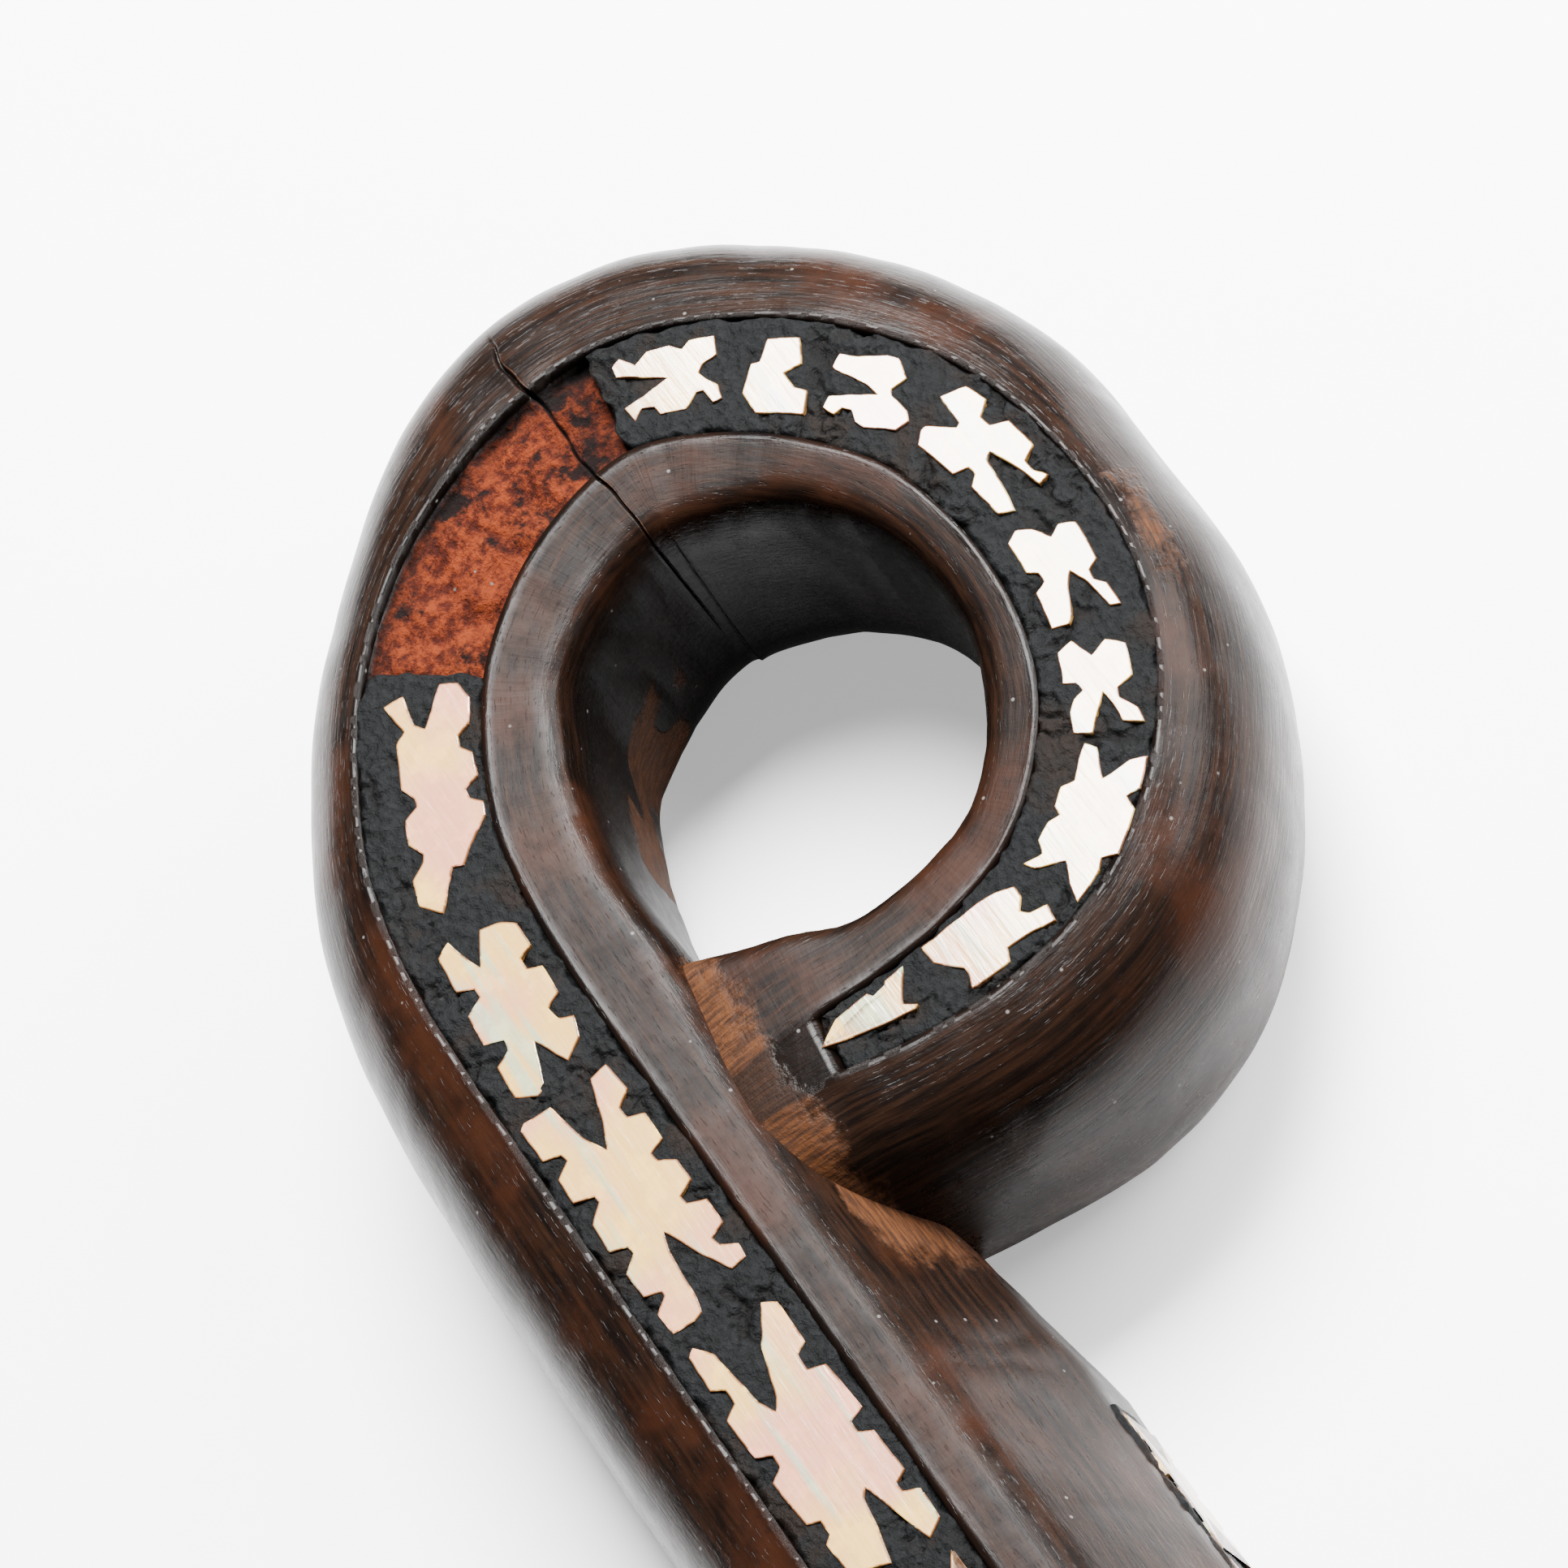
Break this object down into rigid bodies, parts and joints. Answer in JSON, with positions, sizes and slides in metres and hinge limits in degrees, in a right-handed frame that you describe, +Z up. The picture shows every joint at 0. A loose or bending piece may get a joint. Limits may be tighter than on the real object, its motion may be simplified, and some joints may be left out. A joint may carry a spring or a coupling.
{
  "type": "carved wooden bowl",
  "caption": "Shallow oval wooden bowl carved in one piece with a thick curled handle, with notched pearl shell plates set in black putty along the handle and the rim",
  "frame": {"origin": "middle of the bowl's flat foot, on the table", "axes": "+Z up, handle towards -X, the curl turns towards +Y"},
  "size_m": [0.3647, 0.1307, 0.042],
  "materials": {
    "dark_wood": "dark brown hardwood, rubbed to a satin gloss",
    "black_putty": "matt black resinous putty, lumpy and cracked",
    "pearl_shell": "polished mother-of-pearl with faint pink and green"
  },
  "bodies": {
    "root": {"carved_body": "dark_wood", "putty_stem": "black_putty", "putty_curl": "black_putty", "putty_flank": "black_putty", "putty_rim": "black_putty", "stem_shell_1": "pearl_shell", "stem_shell_2": "pearl_shell", "curl_shell_1": "pearl_shell", "curl_shell_2": "pearl_shell", "curl_shell_3": "pearl_shell", "curl_shell_4": "pearl_shell", "curl_shell_5": "pearl_shell", "curl_shell_6": "pearl_shell", "curl_shell_7": "pearl_shell", "curl_shell_8": "pearl_shell", "curl_shell_9": "pearl_shell", "curl_shell_10": "pearl_shell", "curl_shell_11": "pearl_shell", "curl_shell_12": "pearl_shell", "flank_shell_1": "pearl_shell", "flank_shell_2": "pearl_shell", "rim_shell_1": "pearl_shell", "rim_shell_2": "pearl_shell", "rim_shell_3": "pearl_shell", "rim_shell_4": "pearl_shell", "rim_shell_5": "pearl_shell", "rim_shell_6": "pearl_shell", "rim_shell_7": "pearl_shell", "rim_shell_8": "pearl_shell", "rim_shell_9": "pearl_shell", "rim_shell_10": "pearl_shell", "rim_shell_11": "pearl_shell", "rim_shell_12": "pearl_shell", "rim_shell_13": "pearl_shell", "rim_shell_14": "pearl_shell", "rim_shell_15": "pearl_shell", "rim_shell_16": "pearl_shell", "rim_shell_17": "pearl_shell", "rim_shell_18": "pearl_shell", "rim_shell_19": "pearl_shell", "rim_shell_20": "pearl_shell", "rim_shell_21": "pearl_shell", "rim_shell_22": "pearl_shell"}
  },
  "joints": []
}
